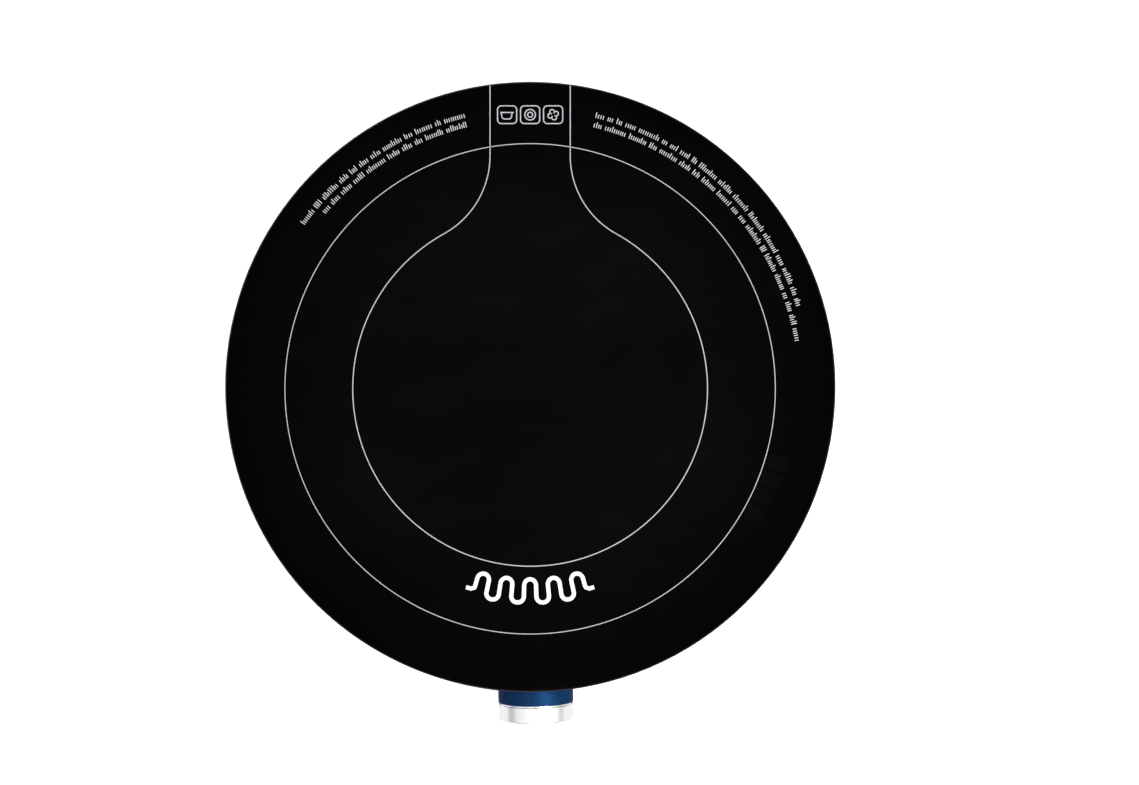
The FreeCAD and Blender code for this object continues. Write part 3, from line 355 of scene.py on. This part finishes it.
# ---- printed marks on the glass -----------------------------------------------------------------
def on_glass(x, y):
    """Millimetres in the print's own upright frame to metres on the glass."""
    x, y = x + PRINT_X, y + PRINT_Y
    c, s = math.cos(PRINT_TURN), math.sin(PRINT_TURN)
    return (x * c - y * s) * MM, (x * s + y * c) * MM


def stroke(bm, path, width, closed=False):
    """Adds one raised line of ink along path, as a closed strip with square ends."""
    count = len(path)
    sections = []
    for i in range(count):
        before = path[(i - 1) % count] if closed or i else path[i]
        after = path[(i + 1) % count] if closed or i < count - 1 else path[i]
        tx, ty = after[0] - before[0], after[1] - before[1]
        length = math.hypot(tx, ty)
        nx, ny = -ty / length * width / 2, tx / length * width / 2
        left = on_glass(path[i][0] + nx, path[i][1] + ny)
        right = on_glass(path[i][0] - nx, path[i][1] - ny)
        sections.append([
            bm.verts.new((*left, GLASS_TOP - INK_UNDER)), bm.verts.new((*right, GLASS_TOP - INK_UNDER)),
            bm.verts.new((*right, GLASS_TOP + INK_OVER)), bm.verts.new((*left, GLASS_TOP + INK_OVER)),
        ])
    following = sections[1:] + sections[:1] if closed else sections[1:]
    for a, b in zip(sections, following):
        for k in range(4):
            bm.faces.new((a[k], a[(k + 1) % 4], b[(k + 1) % 4], b[k]))
    if not closed:
        bm.faces.new(list(reversed(sections[0])))
        bm.faces.new(sections[-1])


def add_piece(name, bm, look_name):
    """Turns bm into a piece that rides with the body of the hob."""
    mesh = bpy.data.meshes.new(name)
    bm.to_mesh(mesh)
    bm.free()
    mesh.materials.append(LOOKS[look_name].material)
    piece = bpy.data.objects.new(name, mesh)
    scene.collection.objects.link(piece)
    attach(piece, "hob")


def ink_piece(name, look_name, draw):
    """One printed piece on the glass. draw(bm) adds its strokes."""
    bm = bmesh.new()
    draw(bm)
    bmesh.ops.recalc_face_normals(bm, faces=bm.faces)
    add_piece(name, bm, look_name)


def arc_points(cx, cy, r, a0, a1, count):
    """Points on an arc, angles in degrees counter-clockwise from +X."""
    angles = [math.radians(a0 + (a1 - a0) * k / (count - 1)) for k in range(count)]
    return [(cx + r * math.cos(a), cy + r * math.sin(a)) for a in angles]


def circle(cx, cy, r, count):
    return arc_points(cx, cy, r, 0.0, 360.0 - 360.0 / count, count)


def line_points(x0, y0, x1, y1, count):
    return [(x0 + (x1 - x0) * k / (count - 1), y0 + (y1 - y0) * k / (count - 1)) for k in range(count)]


def draw_outer_ring(bm):
    stroke(bm, circle(0, 0, RING_R, 720), RING_LINE_W, True)


def draw_pan_outline(bm):
    """The inner ring, open at the back into a straight neck that runs to the disc's edge."""
    hub = NECK_HALF + NECK_ARC
    reach = PAN_R + NECK_ARC
    rise = math.sqrt(reach * reach - hub * hub)
    lean = math.degrees(math.atan2(hub, rise))
    top = math.sqrt(PRINT_REACH ** 2 - NECK_HALF ** 2) - PRINT_Y
    right = line_points(NECK_HALF, top, NECK_HALF, rise + 0.3, 20)
    right += arc_points(hub, rise, NECK_ARC, 180.0, 270.0 - lean, 60)
    ring = arc_points(0, 0, PAN_R, 90.0 - lean - 0.4, 90.0 - lean - 0.4 - (360.0 - 2 * lean - 0.8), 560)
    left = [(-x, y) for x, y in reversed(right)]
    stroke(bm, right + ring + left, PAN_LINE_W)


def rounded_outline(cx, cy, half_w, half_h, r):
    points = []
    for k, (sx, sy) in enumerate(((1, 1), (-1, 1), (-1, -1), (1, -1))):
        points += arc_points(cx + sx * (half_w - r), cy + sy * (half_h - r), r, 90.0 * k, 90.0 * k + 90.0, 8)
    return points


def draw_marks(bm):
    """Three plain pictograms in the neck: a pan, a coil and a fan."""
    cy = MARK_Y - PRINT_Y
    for cx in (-MARK_STEP, 0.0, MARK_STEP):
        stroke(bm, rounded_outline(cx, cy, MARK_HALF_W, MARK_HALF_H, MARK_CORNER), MARK_LINE_W, True)
    pan = [(-14.2, cy + 0.9), (-13.8, cy - 1.2), (-13.3, cy - 1.9), (-12.5, cy - 2.1),
           (-10.5, cy - 2.1), (-9.7, cy - 1.9), (-9.2, cy - 1.2), (-8.8, cy + 0.9)]
    stroke(bm, pan, MARK_LINE_W)
    stroke(bm, line_points(-14.6, cy + 1.1, -8.0, cy + 1.1, 4), MARK_LINE_W)
    for r in (2.6, 1.2):
        stroke(bm, circle(0, cy, r, 40), MARK_LINE_W, True)
    for k in range(4):
        a = 90.0 * k + 20.0
        hub_x, hub_y = MARK_STEP + 1.5 * math.cos(math.radians(a)), cy + 1.5 * math.sin(math.radians(a))
        stroke(bm, arc_points(hub_x, hub_y, 1.15, a - 150.0, a + 95.0, 20), MARK_LINE_W)


def draw_notes(bm):
    """Rows of fine ticks in uneven groups along the rim, on both sides of the neck."""
    rng = random.Random(11)
    for radius, start, stop in NOTE_ROWS:
        way = 1.0 if stop > start else -1.0
        angle, left_in_group = start, rng.randint(3, 11)
        while (stop - angle) * way > 0:
            tall = rng.random() < 0.3
            low, high = radius - TICK_H / 2, radius + TICK_H / 2 + (TICK_TALL if tall else 0.0)
            c, s = math.cos(math.radians(angle)), math.sin(math.radians(angle))
            stroke(bm, [(low * c, low * s), (high * c, high * s)], TICK_W)
            left_in_group -= 1
            step = rng.uniform(0.95, 1.25)
            if left_in_group == 0:
                left_in_group, step = rng.randint(3, 11), 2.5
            angle += way * math.degrees(step / radius)


def draw_emblem(bm):
    """Generic heating symbol: a serpentine line, bent along the rings."""
    turn_r, leg, bends = EMBLEM_TURN_R, EMBLEM_LEG, EMBLEM_BENDS
    path = [(-turn_r * bends - 4.0, -leg / 2 - 0.2), (-turn_r * bends - 1.6, -leg / 2 - 0.2)]
    for k in range(bends):
        side = 1.0 if k % 2 == 0 else -1.0
        centre = turn_r * (2 * k + 1 - bends)
        path += line_points(centre - turn_r, -side * leg / 2, centre - turn_r, side * leg / 2, 8)[1:-1]
        path += [(centre - turn_r * math.cos(t), side * (leg / 2 + turn_r * math.sin(t)))
                 for t in (math.pi * j / 16 for j in range(17))]
    path += line_points(turn_r * bends, leg / 2, turn_r * bends, -leg / 2 + 1.0, 8)[1:]
    path += [(turn_r * bends + 1.6, -leg / 2 - 0.2), (turn_r * bends + 4.0, -leg / 2 - 0.2)]
    bent = []
    for along, up in path:
        a = math.radians(-90.0) + along / EMBLEM_R
        r = EMBLEM_R - up
        bent.append((r * math.cos(a), r * math.sin(a)))
    stroke(bm, bent, EMBLEM_LINE_W)


ink_piece("print_outer_ring", "print_ink", draw_outer_ring)
ink_piece("print_pan_outline", "print_ink", draw_pan_outline)
ink_piece("print_marks", "print_ink", draw_marks)
ink_piece("print_notes", "note_ink", draw_notes)
ink_piece("print_emblem", "white_ink", draw_emblem)


# ---- blank type plate under the floor -----------------------------------------------------------
def build_type_plate():
    """Foil plate with rounded corners and a raised border, stuck to the underside."""
    under, border, field = FLOOR_UNDERSIDE + 0.02, FLOOR_UNDERSIDE - 0.22, FLOOR_UNDERSIDE - 0.14
    levels = ((0.0, 3.0, under), (0.0, 3.0, border), (1.4, 2.0, border), (1.6, 1.8, field))
    bm = bmesh.new()
    rings = []
    for inset, r, z in levels:
        outline = rounded_outline(PLATE_X, PLATE_Y, PLATE_HALF_W - inset, PLATE_HALF_H - inset, r)
        rings.append([bm.verts.new((x * MM, y * MM, z * MM)) for x, y in outline])
    for a, b in zip(rings, rings[1:]):
        for k in range(len(a)):
            n = (k + 1) % len(a)
            bm.faces.new((a[k], a[n], b[n], b[k]))
    bm.faces.new(rings[0])
    bm.faces.new(rings[-1])
    bmesh.ops.recalc_face_normals(bm, faces=bm.faces)
    add_piece("type_plate", bm, "foil_plate")


build_type_plate()


# ---- stage, light and camera --------------------------------------------------------------------
def build_floor():
    bpy.ops.mesh.primitive_plane_add(size=9.0)
    floor = bpy.context.active_object
    floor.name = "floor"
    look = Look("pale_floor", (0.9, 0.9, 0.9), 0.6, Emission_Color=(1, 1, 1, 1), Emission_Strength=0.5)
    tone = look.ranged(look.noise(3.0), 0.3, 0.7, 0.0, 1.0)
    look.to("Base Color", look.mixed(tone, (0.895, 0.895, 0.895), (0.905, 0.905, 0.905)))
    floor.data.materials.append(look.material)
    floor.visible_diffuse = False
    floor.visible_glossy = False


def build_world():
    """White studio dome: greyer towards the horizon, most on the left, with one dark flag straight above
    that the glass reflects, a brighter panel in front of the flag for the knob, and a pale underside."""
    world = bpy.data.worlds.new("studio")
    scene.world = world
    world.use_nodes = True
    tree = world.node_tree
    link = tree.links.new

    def calc(operation, a, b=None):
        node = tree.nodes.new("ShaderNodeMath")
        node.operation = operation
        for socket, value in zip(node.inputs, (a, b)):
            if isinstance(value, (int, float)):
                socket.default_value = value
            elif value is not None:
                link(value, socket)
        return node.outputs[0]

    def ranged(source, low, high, to_low=0.0, to_high=1.0):
        node = tree.nodes.new("ShaderNodeMapRange")
        for socket, value in zip(node.inputs[1:5], (low, high, to_low, to_high)):
            socket.default_value = value
        link(source, node.inputs[0])
        return node.outputs[0]

    def side(stops):
        node = tree.nodes.new("ShaderNodeValToRGB")
        elements = node.color_ramp.elements
        while len(elements) < len(stops):
            elements.new(0.5)
        for element, (position, value) in zip(elements, stops):
            element.position = position
            element.color = (value, value, value, 1.0)
        link(z, node.inputs[0])
        return node.outputs["Color"]

    def blend(factor, a, b):
        return calc("ADD", calc("MULTIPLY", factor, b), calc("MULTIPLY", calc("SUBTRACT", 1.0, factor), a))

    def inside(value, low, high, soft):
        return calc("MULTIPLY", ranged(value, low, low + soft), ranged(value, high - soft, high, 1.0, 0.0))

    coords = tree.nodes.new("ShaderNodeTexCoord")
    split = tree.nodes.new("ShaderNodeSeparateXYZ")
    link(coords.outputs["Generated"], split.inputs[0])
    x, y, z = split.outputs
    left = side(((0.0, 0.50), (0.22, 0.40), (0.45, 0.70), (0.85, 0.84)))
    right = side(((0.0, 0.56), (0.22, 0.56), (0.36, 0.95), (0.85, 1.0)))
    dome = blend(ranged(x, -0.25, 0.25), left, right)
    height = calc("MAXIMUM", z, 0.05)
    across, along = calc("DIVIDE", x, height), calc("DIVIDE", y, height)
    panel = calc("MULTIPLY", inside(across, -0.36, 0.36, 0.05), inside(along, -0.42, FLAG_FRONT, 0.002))
    flag = calc("MULTIPLY", inside(across, -0.23, 0.19, 0.012), inside(along, FLAG_FRONT, 0.21, 0.002))
    above = ranged(z, 0.6, 0.7)
    dome = blend(calc("MULTIPLY", panel, above), dome, 2.3)
    dome = blend(calc("MULTIPLY", flag, above), dome, 0.02)
    dome = blend(ranged(z, -0.10, -0.03, 1.0, 0.0), dome, 0.80)
    background = tree.nodes["Background"]
    link(dome, background.inputs["Color"])
    background.inputs["Strength"].default_value = 1.25


def add_light(name, place, target, size, watts):
    data = bpy.data.lights.new(name, "AREA")
    data.shape = "DISK"
    data.size = size
    data.energy = watts
    light = bpy.data.objects.new(name, data)
    scene.collection.objects.link(light)
    light.location = place
    light.rotation_euler = (Vector(target) - Vector(place)).to_track_quat("-Z", "Y").to_euler()


def build_camera():
    data = bpy.data.cameras.new("camera")
    camera = bpy.data.objects.new("camera", data)
    scene.collection.objects.link(camera)
    scene.camera = camera
    data.sensor_width = SENSOR_WIDTH
    data.lens = SENSOR_WIDTH * CAMERA_RISE / VIEW_WIDTH
    c, s = math.cos(PRINT_TURN), math.sin(PRINT_TURN)
    x, y = CAMERA_X * c - CAMERA_Y * s, CAMERA_X * s + CAMERA_Y * c
    camera.location = (x, y, CAMERA_PLANE + CAMERA_RISE)
    camera.rotation_euler = (0.0, 0.0, PRINT_TURN)


build_floor()
build_world()
add_light("key", (0.75, -0.35, 1.25), (0.0, -0.05, 0.03), 0.7, 15.0)
build_camera()
scene.view_settings.view_transform = "Standard"
scene.view_settings.look = "None"

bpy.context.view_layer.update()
